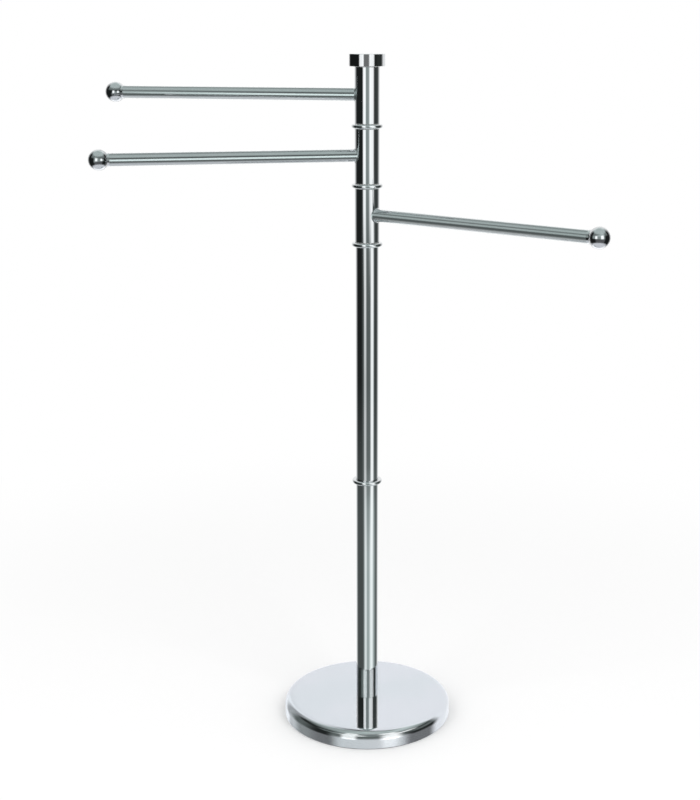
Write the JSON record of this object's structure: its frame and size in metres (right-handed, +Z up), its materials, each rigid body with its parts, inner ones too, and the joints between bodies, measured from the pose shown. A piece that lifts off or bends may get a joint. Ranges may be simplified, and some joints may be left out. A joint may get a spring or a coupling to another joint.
{
  "type": "freestanding towel stand",
  "caption": "Freestanding towel stand: weighted round base, tubular column with bead rings and cap, and towel bars with ball ends that swivel right round the column on sleeves.",
  "frame": {"origin": "the point of the floor on the column's axis, on the underside of the base pad", "axes": "+Z up along the column; +X to the right and +Y away from the viewer in the picture's view"},
  "size_m": [0.6228, 0.3328, 0.9],
  "materials": {
    "chrome": "polished bright chrome plating",
    "steel": "bright zinc-plated turned steel",
    "cast_iron": "black painted casting",
    "pad": "matt black foam rubber",
    "bush_plastic": "natural white moulded plastic"
  },
  "bodies": {
    "stand": {"base_cover": "chrome", "ballast_disc": "cast_iron", "base_pad": "pad", "base_bolt": "steel", "base_washer": "steel", "base_nut": "steel", "lower_post": "chrome", "lower_post_foot_plug": "steel", "lower_post_head_plug": "steel", "joint_ring": "chrome", "joint_stud": "steel", "upper_post": "chrome", "upper_post_foot_plug": "steel", "upper_post_head_plug": "steel", "pivot_rod": "steel", "low_spacer_ring": "chrome", "middle_spacer_ring": "chrome", "top_spacer_ring": "chrome", "cap_spring_washer": "steel", "top_cap": "chrome"},
    "low_arm": {"low_arm_sleeve": "chrome", "low_lower_bush": "bush_plastic", "low_upper_bush": "bush_plastic", "low_arm_bar": "chrome", "low_arm_ball": "chrome"},
    "middle_arm": {"middle_arm_sleeve": "chrome", "middle_lower_bush": "bush_plastic", "middle_upper_bush": "bush_plastic", "middle_arm_bar": "chrome", "middle_arm_ball": "chrome"},
    "top_arm": {"top_arm_sleeve": "chrome", "top_lower_bush": "bush_plastic", "top_upper_bush": "bush_plastic", "top_arm_bar": "chrome", "top_arm_ball": "chrome"}
  },
  "joints": [
    {"name": "low_arm_swivel", "type": "hinge", "parent": "stand", "child": "low_arm", "pos_m": [0, 0, 0.69895], "axis": [0, 0, 1], "continuous": true},
    {"name": "middle_arm_swivel", "type": "hinge", "parent": "stand", "child": "middle_arm", "pos_m": [0, 0, 0.77405], "axis": [0, 0, 1], "continuous": true},
    {"name": "top_arm_swivel", "type": "hinge", "parent": "stand", "child": "top_arm", "pos_m": [0, 0, 0.84985], "axis": [0, 0, 1], "continuous": true}
  ]
}
